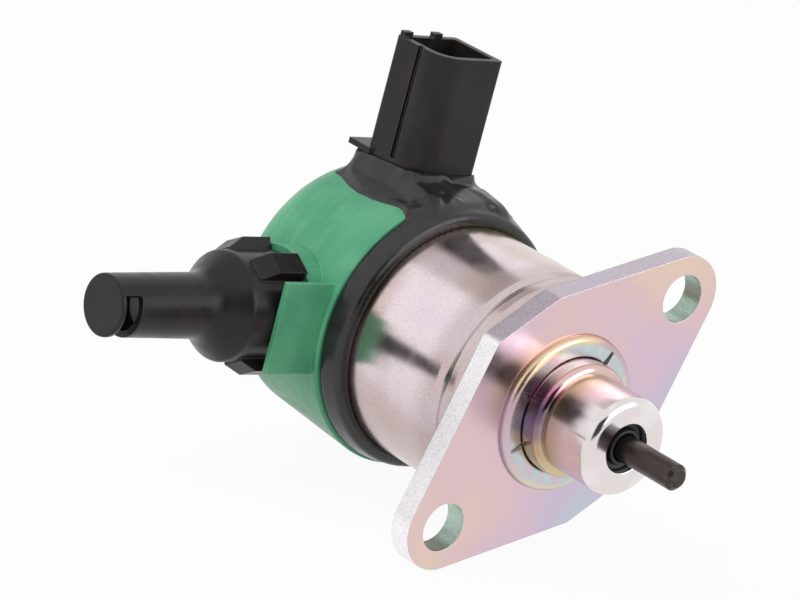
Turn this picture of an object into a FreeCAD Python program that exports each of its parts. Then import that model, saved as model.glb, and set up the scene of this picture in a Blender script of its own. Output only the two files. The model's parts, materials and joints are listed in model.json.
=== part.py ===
import FreeCAD, Part
import math
import os

from FreeCAD import Vector

# Fuel shutoff solenoid, in millimetres.
# The origin is the centre of the flange's front face, which bolts against the engine.
# +X runs along the plunger, out of the nose. +Z points up the connector. The vent points to -Y.

# Clearances between pieces
RUNNING_GAP = 0.05
SEAT_GAP = 0.03
REST_GAP = 0.1
LOOSE_GAP = 0.3

# Mounting flange: a stamped plate with two holes on a line turned from +Y towards +Z
FLANGE_THICKNESS = 4.0
BOLT_SPACING = 56.0
BOLT_HOLE_D = 8.4
BOLT_HOLE_RIM = 3.25
FLANGE_ANGLE = 45.0
FLANGE_WAIST_R = 21.05
FLANGE_FLAT_INSET = 0.55
FLANGE_FLAT_TURN = -9.5
FLANGE_BEND_R = 2.0
COLLAR_SEAT_DEPTH = 0.4

# Drawn steel case
CAN_R = 20.65
CAN_WALL = 1.3
CAN_LENGTH = 33.2
CAN_CORNER_R = 1.6
CAN_CRIMP_REACH = 1.1
CAN_CRIMP_LENGTH = 1.3
GROOVE_SETBACK = 4.2
GROOVE_WIDTH = 2.6
GROOVE_DEPTH = 0.5
GROOVE_ROUND = 0.8

# Nose cup round the pin
NOSE_R = 8.5
NOSE_LENGTH = 15.6
NOSE_WALL = 1.0
NOSE_ROUND = 1.6
NOSE_BEAD_GAP = 0.1
NOSE_BEAD_DEPTH = 1.45
NOSE_BEAD_TOP = 4.9
NOSE_BEAD_ROUND = 1.3

# Front yoke, whose collar is swaged over the flange and staked
COLLAR_WIDTH = 3.5
COLLAR_HEIGHT = 1.3
COLLAR_ROUND = 1.1
FRONT_YOKE_THICKNESS = 6.2
STAKE_ANGLES = (61.0, 162.0, 211.0, 312.0)
STAKE_WIDTH = 1.3
STAKE_DEPTH = 0.8
STAKE_REACH = 2.4

# Plunger pin and armature
PIN_R = 2.25
PIN_REACH = 12.4
PIN_CHAMFER = 0.7
PIN_SOCKET_DEPTH = 7.0
PIN_SEAL_SPACE = 2.0
TRAVEL = 6.5
ARMATURE_R = 7.0
ARMATURE_SHARE = 0.74
ARMATURE_CHAMFER = 0.6
STOP_WASHER_THICKNESS = 0.8
RESIDUAL_WASHER_THICKNESS = 0.3

# Return spring
SPRING_WIRE_R = 0.4
SPRING_R = 3.4
SPRING_TURNS = 6.0
SPRING_POCKET_R = 4.2
ARMATURE_POCKET_SHARE = 0.48
CORE_POCKET_SHARE = 0.6

# Guide sleeve, coils and bobbin
SLEEVE_WALL = 0.5
BOBBIN_WALL = 1.0
BOBBIN_FLANGE = 1.2
BOBBIN_RIM_GAP = 0.55
PULL_COIL_SHARE = 0.45
COIL_GAP = 0.1
WRAP_THICKNESS = 0.5
WRAP_INSET = 1.0

# Rear yoke and fixed core
REAR_YOKE_THICKNESS = 3.3
CORE_STEM_R = 5.0
CORE_HEAD_R = 6.2
CORE_HEAD_HEIGHT = 1.2

# Bush and seal in the nose
BUSH_START_X = 1.5
SEAL_LENGTH = 4.2
SEAL_LIP_WIDTH = 0.85
SEAL_LIP_REACH = 0.7
SEAL_BORE_GAP = 0.08

# Moulded end cap
CAP_COVER = 2.3
CAP_LENGTH = 28.1
CAP_SOCKET_WALL = 3.2
CAP_TAPER = 1.85
CAP_WALL = 2.4
CAP_REAR_WALL = 2.6
CAP_REAR_ROUND = 8.0
CAP_FRONT_ROUND = 0.5
CAP_RING_SECTION_R = 0.62
CAP_RING_SETBACK = 1.3

# Vent port on the end cap, with the guard plate beside it
VENT_SETBACK = 11.9
PORT_BOSS_STAND = 1.65
PORT_BOSS_RIM = 1.1
PORT_NOZZLE_R = 6.0
PORT_NOZZLE_LENGTH = 10.5
PORT_BORE_R = 3.2
GUARD_SETBACK = 1.4
GUARD_THICKNESS = 1.1
GUARD_REACH = 6.7
GUARD_HALF_WIDTH = 7.85

# Vent cap
VENT_SKIRT_WALL = 1.9
VENT_SHOULDER_START = 0.6
VENT_SHOULDER_LENGTH = 4.3
VENT_SHOULDER_ROUND = 1.5
VENT_NECK_ROUND = 5.0
VENT_TUBE_ROOT_R = 5.5
VENT_TUBE_TIP_R = 5.2
VENT_TUBE_WALL = 1.1
VENT_TUBE_LENGTH = 19.8
VENT_END_THICKNESS = 0.8
VENT_WINDOW_WIDTH = 3.3
VENT_WINDOW_TURN = -52.0
VENT_LUG_STAND = 1.9
VENT_LUG_WIDTH = 4.2
VENT_LUG_LENGTH = 8.8
VENT_LUG_RAMP = 3.0
VENT_LUG_CHAMFER = 1.7
VENT_LUG_ANGLES = (60.0, 120.0, 240.0, 300.0)
VENT_LIFT = 0.4
FILTER_SETBACK = 4.1
FILTER_LENGTH = 7.0
VENT_RING_SECTION_R = 0.8
VENT_RING_SETBACK = 5.0
VENT_RING_GROOVE_DEPTH = 0.25

# Connector housing, with its long side along Y
CONNECTOR_SETBACK = 12.6
CONNECTOR_LENGTH_X = 12.6
CONNECTOR_LENGTH_Y = 13.3
CONNECTOR_HEIGHT = 19.7
CONNECTOR_WALL = 1.2
CONNECTOR_FLOOR_RISE = 4.8
CONNECTOR_BIG_ROUND = 4.5
CONNECTOR_SMALL_ROUND = 0.7
CONNECTOR_ROOT_DEPTH = 7.2
CONNECTOR_ROOT_INSET = 1.4
KEY_GROOVE_WIDTH = 1.2
KEY_GROOVE_DEPTH = 0.7
LEDGE_STAND = 2.35
LEDGE_THICKNESS = 1.0
LEDGE_REAR_REACH = 4.3
LEDGE_SIDE_REACH = 0.6
EAR_WIDTH = 1.8
EAR_RISE = 0.8
EAR_SPACING = 6.6

# Blade terminals and their leads
TERMINAL_SPACING_SHARE = 0.312
TERMINAL_WIDTH_SHARE = 0.676
TERMINAL_THICKNESS = 0.8
TERMINAL_RISE = 12.8
TERMINAL_DROP = 8.0
TERMINAL_POINT = 0.6
LEAD_R = 0.7
LEAD_BEND_R = 2.2
LEAD_HOLE_R = 1.1

# Sealing boot: the band over the joint and the saddle round the connector
BAND_LAP = 4.5
BAND_REAR_STAND = 2.8
BAND_FRONT_STAND = 2.0
BAND_ROUND = 1.0
SADDLE_REAR_LIFT = -1.0
SADDLE_FRONT_LIFT = -0.2
SADDLE_SKIN_HALF_WIDTH = 12.9
SADDLE_CORNER_ROUND = 4.5
SADDLE_ROUND = 2.4

# Places that follow from the sizes above
NOSE_RECESS_R = NOSE_R + NOSE_BEAD_DEPTH + NOSE_BEAD_GAP
NOSE_HOLE_R = PIN_R + PIN_SEAL_SPACE
SPIGOT_R = NOSE_RECESS_R + COLLAR_WIDTH / 2
COLLAR_R = NOSE_RECESS_R + COLLAR_WIDTH
FLANGE_END_R = BOLT_HOLE_D / 2 + BOLT_HOLE_RIM
FLANGE_FLAT_DISTANCE = FLANGE_WAIST_R - FLANGE_FLAT_INSET
PIN_TIP_X = NOSE_LENGTH + PIN_REACH
CAN_FRONT_X = -FLANGE_THICKNESS
CAN_REAR_X = CAN_FRONT_X - CAN_LENGTH
CAN_INNER_R = CAN_R - CAN_WALL
CAN_INNER_FRONT_X = CAN_FRONT_X - CAN_WALL
STOP_WASHER_REAR_X = -FLANGE_THICKNESS / 2
NOSE_SEAT_X = STOP_WASHER_REAR_X + STOP_WASHER_THICKNESS
FRONT_YOKE_REAR_X = CAN_INNER_FRONT_X - FRONT_YOKE_THICKNESS
REAR_YOKE_REAR_X = CAN_REAR_X + CAN_CRIMP_LENGTH + SEAT_GAP
REAR_YOKE_FRONT_X = REAR_YOKE_REAR_X + REAR_YOKE_THICKNESS
BOBBIN_FRONT_X = FRONT_YOKE_REAR_X - SEAT_GAP
BOBBIN_REAR_X = REAR_YOKE_FRONT_X + SEAT_GAP
ARMATURE_LENGTH = ARMATURE_SHARE * (BOBBIN_FRONT_X - BOBBIN_REAR_X)
ARMATURE_POCKET_DEPTH = ARMATURE_POCKET_SHARE * ARMATURE_LENGTH
ARMATURE_FRONT_X = STOP_WASHER_REAR_X - REST_GAP
ARMATURE_REAR_X = ARMATURE_FRONT_X - ARMATURE_LENGTH
RESIDUAL_WASHER_FRONT_X = ARMATURE_REAR_X - TRAVEL - REST_GAP
CORE_FRONT_X = RESIDUAL_WASHER_FRONT_X - RESIDUAL_WASHER_THICKNESS
CORE_POCKET_DEPTH = CORE_POCKET_SHARE * (CORE_FRONT_X - REAR_YOKE_FRONT_X)
SLEEVE_BORE_R = ARMATURE_R + RUNNING_GAP
SLEEVE_R = SLEEVE_BORE_R + SLEEVE_WALL
BOBBIN_BORE_R = SLEEVE_R + SEAT_GAP
BOBBIN_TUBE_R = BOBBIN_BORE_R + BOBBIN_WALL
BOBBIN_FLANGE_R = CAN_INNER_R - BOBBIN_RIM_GAP
WRAP_R = BOBBIN_FLANGE_R - WRAP_INSET
WINDING_BUILD = WRAP_R - WRAP_THICKNESS - BOBBIN_TUBE_R - 3 * COIL_GAP
PULL_COIL_R = BOBBIN_TUBE_R + COIL_GAP + PULL_COIL_SHARE * WINDING_BUILD
HOLD_COIL_R = WRAP_R - WRAP_THICKNESS - COIL_GAP
LEAD_Z = (PULL_COIL_R + HOLD_COIL_R) / 2

CAP_FRONT_X = CAN_REAR_X + CAP_COVER
CAP_REAR_X = CAP_FRONT_X - CAP_LENGTH
CAP_FRONT_R = CAN_R + CAP_SOCKET_WALL
CAP_REAR_R = CAP_FRONT_R - CAP_TAPER
VENT_SKIRT_BORE_R = PORT_NOZZLE_R - VENT_RING_GROOVE_DEPTH + 2 * VENT_RING_SECTION_R + RUNNING_GAP
VENT_SKIRT_R = VENT_SKIRT_BORE_R + VENT_SKIRT_WALL
VENT_LUG_R = VENT_SKIRT_R + VENT_LUG_STAND
VENT_TUBE_BORE_R = VENT_TUBE_TIP_R - VENT_TUBE_WALL
PORT_BOSS_R = VENT_SKIRT_R + PORT_BOSS_RIM
VENT_X = CAP_FRONT_X - VENT_SETBACK
PORT_BOSS_OUT = CAP_FRONT_R + PORT_BOSS_STAND
PORT_NOZZLE_OUT = PORT_BOSS_OUT + PORT_NOZZLE_LENGTH
VENT_RING_OUT = PORT_NOZZLE_OUT - VENT_RING_SETBACK
VENT_SHOULDER_OUT = PORT_NOZZLE_OUT + VENT_SHOULDER_START
VENT_TUBE_START_OUT = VENT_SHOULDER_OUT + VENT_SHOULDER_LENGTH
VENT_TIP_OUT = VENT_TUBE_START_OUT + VENT_TUBE_LENGTH
FILTER_START_OUT = VENT_TUBE_START_OUT + FILTER_SETBACK
GUARD_FACE_X = CAP_FRONT_X - GUARD_SETBACK
GUARD_OUT = PORT_BOSS_OUT + GUARD_REACH

CONNECTOR_X = CAP_FRONT_X - CONNECTOR_SETBACK
CONNECTOR_REAR_X = CONNECTOR_X - CONNECTOR_LENGTH_X / 2
CONNECTOR_FRONT_X = CONNECTOR_X + CONNECTOR_LENGTH_X / 2
LEDGE_TOP_Z = CAP_FRONT_R + LEDGE_STAND
CONNECTOR_TOP_Z = LEDGE_TOP_Z + CONNECTOR_HEIGHT
CONNECTOR_FLOOR_Z = LEDGE_TOP_Z + CONNECTOR_FLOOR_RISE
CONNECTOR_ROOT_Z = LEDGE_TOP_Z - CONNECTOR_ROOT_DEPTH
TERMINAL_TOP_Z = LEDGE_TOP_Z + TERMINAL_RISE
TERMINAL_BOTTOM_Z = LEDGE_TOP_Z - TERMINAL_DROP
TERMINAL_SPACING = TERMINAL_SPACING_SHARE * (CONNECTOR_LENGTH_Y - 2 * CONNECTOR_WALL)
TERMINAL_WIDTH = TERMINAL_WIDTH_SHARE * TERMINAL_SPACING
TERMINAL_YS = (-TERMINAL_SPACING, 0.0, TERMINAL_SPACING)

BAND_FRONT_X = CAP_FRONT_X + BAND_LAP
BAND_REAR_R = CAN_R + BAND_REAR_STAND
BAND_FRONT_R = CAN_R + BAND_FRONT_STAND
SADDLE_TOP_REAR_Z = LEDGE_TOP_Z + SADDLE_REAR_LIFT
SADDLE_TOP_FRONT_Z = LEDGE_TOP_Z + SADDLE_FRONT_LIFT
SADDLE_FOOT_Z = CAN_R - 4.6
SADDLE_ABOVE_Z = LEDGE_TOP_Z + 3.8

# Outline of the saddle from the side: place along X, height and corner radius
SADDLE_SIDE_OUTLINE = (
    (CONNECTOR_REAR_X - 2.6, SADDLE_FOOT_Z),
    (CONNECTOR_REAR_X - 2.9, CAN_R + 1.4, 6.0),
    (CONNECTOR_REAR_X - 4.6, SADDLE_ABOVE_Z),
    (CONNECTOR_FRONT_X + 0.5, SADDLE_ABOVE_Z),
    (CONNECTOR_FRONT_X + 0.8, LEDGE_TOP_Z - 0.7, 2.6),
    (BAND_FRONT_X - 0.9, BAND_FRONT_R + 0.6, 3.0),
    (BAND_FRONT_X - 0.9, SADDLE_FOOT_Z),
)

# Flank of the saddle from the front: half width, height and corner radius
SADDLE_FLANK = (
    (CONNECTOR_LENGTH_Y / 2 + 11.5, SADDLE_FOOT_Z),
    (CONNECTOR_LENGTH_Y / 2 + 0.6, LEDGE_TOP_Z - 2.9, 5.0),
    (CONNECTOR_LENGTH_Y / 2 + 0.6, SADDLE_ABOVE_Z),
)

X_AXIS = Vector(1, 0, 0)
CENTRE = Vector(0, 0, 0)


def in_axis_plane(a, b):
    """A point of a profile turned about the X axis: place along X and radius."""
    return Vector(a, b, 0)


def in_vent_plane(a, b):
    """A point of a profile turned about the vent's axis: distance out along -Y and radius."""
    return Vector(VENT_X + b, -a, 0)


def rounded_face(corners, place):
    """A flat face through corners (a, b) or (a, b, radius), with true arcs at the radii."""
    points = [(c[0], c[1]) for c in corners]
    radii = [c[2] if len(c) > 2 else 0.0 for c in corners]
    ends = []
    for i, (x, y) in enumerate(points):
        if radii[i] == 0.0:
            ends.append(((x, y), None, (x, y)))
            continue
        to_last = unit(points[i - 1][0] - x, points[i - 1][1] - y)
        following = points[(i + 1) % len(points)]
        to_next = unit(following[0] - x, following[1] - y)
        half_angle = math.acos(to_last[0] * to_next[0] + to_last[1] * to_next[1]) / 2
        along = radii[i] / math.tan(half_angle)
        middle = unit(to_last[0] + to_next[0], to_last[1] + to_next[1])
        depth = radii[i] / math.sin(half_angle) - radii[i]
        start = (x + to_last[0] * along, y + to_last[1] * along)
        crown = (x + middle[0] * depth, y + middle[1] * depth)
        finish = (x + to_next[0] * along, y + to_next[1] * along)
        ends.append((start, crown, finish))
    edges = []
    for i, (start, crown, finish) in enumerate(ends):
        if crown is not None:
            edges.append(Part.Arc(place(*start), place(*crown), place(*finish)).toShape())
        next_start = ends[(i + 1) % len(ends)][0]
        if math.dist(finish, next_start) > 1e-6:
            edges.append(Part.LineSegment(place(*finish), place(*next_start)).toShape())
    return Part.Face(Part.Wire(edges))


def unit(a, b):
    length = math.hypot(a, b)
    return a / length, b / length


def turned(corners):
    """A solid turned about the X axis."""
    return rounded_face(corners, in_axis_plane).revolve(CENTRE, X_AXIS, 360)


def turned_on_vent(corners):
    """A solid turned about the vent's axis."""
    return rounded_face(corners, in_vent_plane).revolve(Vector(VENT_X, 0, 0), Vector(0, -1, 0), 360)


def ring(x_rear, x_front, inner_r, outer_r, rounding=0.0):
    """A plain ring or tube about the X axis."""
    return turned((
        (x_rear, inner_r), (x_rear, outer_r, rounding),
        (x_front, outer_r, rounding), (x_front, inner_r),
    ))


def box(x_range, y_range, z_range):
    size = (x_range[1] - x_range[0], y_range[1] - y_range[0], z_range[1] - z_range[0])
    return Part.makeBox(*size, Vector(x_range[0], y_range[0], z_range[0]))


def rod_along_x(x_rear, x_front, y, z, radius):
    return Part.makeCylinder(radius, x_front - x_rear, Vector(x_rear, y, z), X_AXIS)


def mounting_flange():
    """Plate with two round ends, a flat across each side of the waist and a seat for the collar."""
    half = BOLT_SPACING / 2
    slope = math.asin((FLANGE_WAIST_R - FLANGE_END_R) / half)
    apex = FLANGE_WAIST_R / math.cos(slope)
    lean = (math.sin(slope) * FLANGE_END_R, math.cos(slope) * FLANGE_END_R)
    right = (half + lean[0], lean[1])
    left = (-half - lean[0], lean[1])

    def place(a, b):
        return Vector(-FLANGE_THICKNESS, a, b)

    def lobe(side):
        start = place(side * right[0], side * right[1])
        crown = place(side * (half + FLANGE_END_R), 0)
        return Part.Arc(start, crown, place(side * right[0], -side * right[1])).toShape()

    edges = [
        Part.LineSegment(place(*left), place(0, apex)).toShape(),
        Part.LineSegment(place(0, apex), place(*right)).toShape(),
        lobe(1),
        Part.LineSegment(place(right[0], -right[1]), place(0, -apex)).toShape(),
        Part.LineSegment(place(0, -apex), place(left[0], -left[1])).toShape(),
        lobe(-1),
    ]
    plate = Part.Face(Part.Wire(edges)).extrude(Vector(FLANGE_THICKNESS, 0, 0))
    reach = BOLT_SPACING
    waist = box((-FLANGE_THICKNESS, 0), (-reach, reach), (-FLANGE_FLAT_DISTANCE, FLANGE_FLAT_DISTANCE))
    waist.rotate(CENTRE, X_AXIS, FLANGE_FLAT_TURN)
    plate = plate.common(waist)
    bends = [
        edge for edge in plate.Edges
        if abs(edge.tangentAt(edge.FirstParameter).x) > 0.99
        and abs(edge.Vertexes[0].Point.y) < half / 2
    ]
    plate = plate.makeFillet(FLANGE_BEND_R, bends)
    for side in (-1, 1):
        plate = plate.cut(rod_along_x(-FLANGE_THICKNESS, 0, side * half, 0, BOLT_HOLE_D / 2))
    plate = plate.cut(rod_along_x(-FLANGE_THICKNESS, 0, 0, 0, SPIGOT_R + SEAT_GAP))
    plate = plate.cut(rod_along_x(-COLLAR_SEAT_DEPTH, 0, 0, 0, COLLAR_R + SEAT_GAP))
    plate.rotate(CENTRE, X_AXIS, FLANGE_ANGLE)
    return plate


def groove_corners(radius, depth):
    """The shallow rolled groove as it runs in a profile, from the front to the rear."""
    middle = CAN_FRONT_X - GROOVE_SETBACK
    return (
        (middle + GROOVE_WIDTH / 2, radius, GROOVE_ROUND),
        (middle, radius - depth, GROOVE_ROUND),
        (middle - GROOVE_WIDTH / 2, radius, GROOVE_ROUND),
    )


def case_can():
    """Drawn cup with a rolled groove behind its front rim and its rear lip crimped inwards."""
    inner = tuple(reversed(groove_corners(CAN_INNER_R, GROOVE_DEPTH)))
    lip_r = CAN_INNER_R - CAN_CRIMP_REACH
    return turned((
        (CAN_FRONT_X, SPIGOT_R + SEAT_GAP),
        (CAN_FRONT_X, CAN_R, CAN_CORNER_R),
        *groove_corners(CAN_R, GROOVE_DEPTH),
        (CAN_REAR_X, CAN_R, CAN_WALL / 2),
        (CAN_REAR_X, lip_r),
        (REAR_YOKE_REAR_X - SEAT_GAP, lip_r),
        (REAR_YOKE_REAR_X - SEAT_GAP, CAN_INNER_R),
        *inner,
        (CAN_INNER_FRONT_X, CAN_INNER_R),
        (CAN_INNER_FRONT_X, SPIGOT_R + SEAT_GAP),
    ))


def front_yoke():
    """Turned end piece: disc in the can, spigot through the flange and a swaged, staked collar."""
    disc_r = CAN_INNER_R - SEAT_GAP
    body = turned((
        (FRONT_YOKE_REAR_X, SLEEVE_R + SEAT_GAP),
        (FRONT_YOKE_REAR_X, disc_r),
        *reversed(groove_corners(disc_r, GROOVE_DEPTH + SEAT_GAP)),
        (CAN_INNER_FRONT_X - SEAT_GAP, disc_r),
        (CAN_INNER_FRONT_X - SEAT_GAP, SPIGOT_R),
        (SEAT_GAP - COLLAR_SEAT_DEPTH, SPIGOT_R),
        (SEAT_GAP - COLLAR_SEAT_DEPTH, COLLAR_R),
        (COLLAR_HEIGHT, COLLAR_R, COLLAR_ROUND),
        (COLLAR_HEIGHT, NOSE_RECESS_R, COLLAR_ROUND / 3),
        (STOP_WASHER_REAR_X, NOSE_RECESS_R),
        (STOP_WASHER_REAR_X, SLEEVE_R + SEAT_GAP),
    ))
    for angle in STAKE_ANGLES:
        body = body.cut(stake_mark(angle))
    return body


def stake_mark(angle):
    """The wedge that a staking punch leaves across the inner part of the collar."""
    inner = NOSE_RECESS_R - STAKE_DEPTH
    wedge = Part.Face(Part.makePolygon([
        Vector(COLLAR_HEIGHT - STAKE_DEPTH, inner, 0),
        Vector(COLLAR_HEIGHT + STAKE_DEPTH, inner, -STAKE_WIDTH),
        Vector(COLLAR_HEIGHT + STAKE_DEPTH, inner, STAKE_WIDTH),
        Vector(COLLAR_HEIGHT - STAKE_DEPTH, inner, 0),
    ]))
    mark = wedge.extrude(Vector(STAKE_DEPTH / 2, STAKE_REACH + STAKE_DEPTH, 0))
    mark.rotate(CENTRE, X_AXIS, angle)
    return mark


def nose_cup():
    """Drawn cup round the pin, with a thick rounded bead at its root."""
    inner_r = NOSE_R - NOSE_WALL
    return turned((
        (NOSE_SEAT_X, inner_r),
        (NOSE_SEAT_X, NOSE_RECESS_R - NOSE_BEAD_GAP),
        (NOSE_BEAD_TOP, NOSE_RECESS_R - NOSE_BEAD_GAP, NOSE_BEAD_ROUND),
        (NOSE_BEAD_TOP, NOSE_R),
        (NOSE_LENGTH, NOSE_R, NOSE_ROUND),
        (NOSE_LENGTH, NOSE_HOLE_R, NOSE_WALL / 4),
        (NOSE_LENGTH - NOSE_WALL, NOSE_HOLE_R),
        (NOSE_LENGTH - NOSE_WALL, inner_r, NOSE_ROUND - NOSE_WALL),
    ))


def front_stop_washer():
    """Thin hard washer that the armature rests on."""
    return ring(
        STOP_WASHER_REAR_X, NOSE_SEAT_X,
        PIN_R + LOOSE_GAP, NOSE_RECESS_R - NOSE_BEAD_GAP,
    )


def pin_bush():
    """Bush in the nose that the pin slides in."""
    front = NOSE_LENGTH - NOSE_WALL - SEAL_LENGTH - LOOSE_GAP
    return ring(
        BUSH_START_X, front,
        PIN_R + RUNNING_GAP, NOSE_R - NOSE_WALL - SEAT_GAP,
    )


def rod_seal():
    """Rubber seal with a lip that stands in the hole of the nose."""
    rear = NOSE_LENGTH - NOSE_WALL - SEAL_LENGTH
    front = NOSE_LENGTH - NOSE_WALL - SEAT_GAP
    outer = NOSE_R - NOSE_WALL - SEAT_GAP
    lip_front = front + SEAL_LIP_REACH
    bore = PIN_R + SEAL_BORE_GAP
    return turned((
        (rear, bore),
        (rear, outer),
        (front, outer, NOSE_ROUND - NOSE_WALL),
        (front, NOSE_HOLE_R - SEAT_GAP),
        (front - SEAL_LIP_REACH, NOSE_HOLE_R - SEAT_GAP),
        (front - SEAL_LIP_REACH, PIN_R + SEAL_LIP_WIDTH),
        (lip_front, PIN_R + SEAL_LIP_WIDTH, SEAL_LIP_REACH / 4),
        (lip_front, bore),
    ))


def plunger_pin():
    """Ground pin pressed into the armature, with a chamfered tip."""
    rear = ARMATURE_FRONT_X - PIN_SOCKET_DEPTH
    return turned((
        (rear, 0),
        (rear, PIN_R),
        (PIN_TIP_X - PIN_CHAMFER, PIN_R),
        (PIN_TIP_X, PIN_R - PIN_CHAMFER),
        (PIN_TIP_X, 0),
    ))


def armature():
    """Sliding iron core with a pocket for the spring and a socket for the pin."""
    pocket_end = ARMATURE_REAR_X + ARMATURE_POCKET_DEPTH
    socket_end = ARMATURE_FRONT_X - PIN_SOCKET_DEPTH
    socket_r = PIN_R + SEAT_GAP
    outer = ((ARMATURE_FRONT_X, ARMATURE_R - ARMATURE_CHAMFER),
             (ARMATURE_FRONT_X - ARMATURE_CHAMFER, ARMATURE_R),
             (ARMATURE_REAR_X + ARMATURE_CHAMFER, ARMATURE_R),
             (ARMATURE_REAR_X, ARMATURE_R - ARMATURE_CHAMFER))
    return turned((
        (socket_end, 0), (socket_end, socket_r), (ARMATURE_FRONT_X, socket_r),
        *outer,
        (ARMATURE_REAR_X, SPRING_POCKET_R), (pocket_end, SPRING_POCKET_R), (pocket_end, 0),
    ))


def return_spring():
    """Coil spring between the pocket in the core and the pocket in the armature."""
    start = CORE_FRONT_X - CORE_POCKET_DEPTH + SPRING_WIRE_R
    finish = ARMATURE_REAR_X + ARMATURE_POCKET_DEPTH - SPRING_WIRE_R
    length = finish - start
    helix = Part.makeHelix(length / SPRING_TURNS, length, SPRING_R)
    section = Part.Wire(Part.makeCircle(SPRING_WIRE_R, Vector(SPRING_R, 0, 0), Vector(0, 1, 0)))
    spring = Part.Wire(helix.Edges).makePipeShell([section], True, True)
    spring.rotate(CENTRE, Vector(0, 1, 0), 90)
    spring.translate(Vector(start, 0, 0))
    return spring


def guide_sleeve():
    """Thin non-magnetic tube that guides the armature and holds the core."""
    return ring(REAR_YOKE_FRONT_X, STOP_WASHER_REAR_X, SLEEVE_BORE_R, SLEEVE_R)


def fixed_core():
    """Pole piece riveted into the rear yoke, with a pocket for the spring."""
    pocket_end = CORE_FRONT_X - CORE_POCKET_DEPTH
    head_rear = REAR_YOKE_REAR_X - CORE_HEAD_HEIGHT
    return turned((
        (head_rear, 0),
        (head_rear, CORE_HEAD_R, CORE_HEAD_HEIGHT / 2),
        (REAR_YOKE_REAR_X - SEAT_GAP, CORE_HEAD_R),
        (REAR_YOKE_REAR_X - SEAT_GAP, CORE_STEM_R),
        (REAR_YOKE_FRONT_X + SEAT_GAP, CORE_STEM_R),
        (REAR_YOKE_FRONT_X + SEAT_GAP, ARMATURE_R),
        (CORE_FRONT_X, ARMATURE_R),
        (CORE_FRONT_X, SPRING_POCKET_R),
        (pocket_end, SPRING_POCKET_R),
        (pocket_end, 0),
    ))


def residual_washer():
    """Thin brass washer that keeps the armature from sticking to the core."""
    return ring(CORE_FRONT_X, RESIDUAL_WASHER_FRONT_X, SPRING_POCKET_R, ARMATURE_R)


def lead_holes(solid, x_rear, x_front):
    for y in TERMINAL_YS:
        solid = solid.cut(rod_along_x(x_rear, x_front, y, LEAD_Z, LEAD_HOLE_R))
    return solid


def rear_yoke():
    """Steel disc that closes the case behind the coils."""
    disc = ring(
        REAR_YOKE_REAR_X, REAR_YOKE_FRONT_X,
        CORE_STEM_R + SEAT_GAP, CAN_INNER_R - SEAT_GAP,
    )
    return lead_holes(disc, REAR_YOKE_REAR_X, REAR_YOKE_FRONT_X)


def bobbin():
    """Moulded spool with a thin flange at each end."""
    spool = turned((
        (BOBBIN_REAR_X, BOBBIN_BORE_R),
        (BOBBIN_REAR_X, BOBBIN_FLANGE_R),
        (BOBBIN_REAR_X + BOBBIN_FLANGE, BOBBIN_FLANGE_R),
        (BOBBIN_REAR_X + BOBBIN_FLANGE, BOBBIN_TUBE_R),
        (BOBBIN_FRONT_X - BOBBIN_FLANGE, BOBBIN_TUBE_R),
        (BOBBIN_FRONT_X - BOBBIN_FLANGE, BOBBIN_FLANGE_R),
        (BOBBIN_FRONT_X, BOBBIN_FLANGE_R),
        (BOBBIN_FRONT_X, BOBBIN_BORE_R),
    ))
    return lead_holes(spool, BOBBIN_REAR_X, BOBBIN_REAR_X + BOBBIN_FLANGE)


def winding(inner_r, outer_r):
    """One layer group between the bobbin's flanges."""
    rear = BOBBIN_REAR_X + BOBBIN_FLANGE + COIL_GAP
    return ring(rear, BOBBIN_FRONT_X - BOBBIN_FLANGE - COIL_GAP, inner_r, outer_r)


def cap_outer_r(x):
    """Radius of the end cap's tapered outside at a place along X."""
    share = (x - CAP_FRONT_X) / (CAP_REAR_X - CAP_FRONT_X)
    return CAP_FRONT_R + share * (CAP_REAR_R - CAP_FRONT_R)


def cap_outer_form():
    """The end cap's tapered outside, filled."""
    return turned((
        (CAP_FRONT_X, 0),
        (CAP_FRONT_X, CAP_FRONT_R, CAP_FRONT_ROUND),
        (CAP_REAR_X, CAP_REAR_R, CAP_REAR_ROUND),
        (CAP_REAR_X, 0),
    ))


def end_cap():
    """Moulded cap over the rear of the can, with the vent port and the guard plate."""
    step_x = CAN_REAR_X - SEAT_GAP
    cavity_rear = CAP_REAR_X + CAP_REAR_WALL
    cavity = turned((
        (step_x, 0),
        (step_x, cap_outer_r(step_x) - 2 * CAP_WALL),
        (cavity_rear, cap_outer_r(cavity_rear) - CAP_WALL, CAP_REAR_ROUND / 2),
        (cavity_rear, 0),
    ))
    socket = ring(step_x, CAP_FRONT_X, 0, CAN_R + SEAT_GAP)
    boss = vent_rod(0, PORT_BOSS_OUT, PORT_BOSS_R)
    nozzle = vent_rod(0, PORT_NOZZLE_OUT, PORT_NOZZLE_R)
    guard = box(
        (GUARD_FACE_X - GUARD_THICKNESS, GUARD_FACE_X),
        (-GUARD_OUT, 0),
        (-GUARD_HALF_WIDTH, GUARD_HALF_WIDTH),
    )
    cap = cap_outer_form().fuse([boss, nozzle, guard])
    cap = cap.cut(cavity).cut(socket)
    cap = cap.cut(vent_rod(0, PORT_NOZZLE_OUT, PORT_BORE_R))
    cap = cap.cut(vent_ring_groove()).cut(cap_ring_groove())
    return cap.cut(connector_root(SEAT_GAP, LEAD_Z)).removeSplitter()


def vent_rod(start, finish, radius):
    """A cylinder on the vent's axis, from one distance out along -Y to another."""
    return Part.makeCylinder(radius, finish - start, Vector(VENT_X, -start, 0), Vector(0, -1, 0))


def vent_ring_groove():
    half = VENT_RING_SECTION_R
    floor = PORT_NOZZLE_R - VENT_RING_GROOVE_DEPTH
    return turned_on_vent((
        (VENT_RING_OUT - half, floor), (VENT_RING_OUT - half, PORT_NOZZLE_R + half),
        (VENT_RING_OUT + half, PORT_NOZZLE_R + half), (VENT_RING_OUT + half, floor),
    ))


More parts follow.
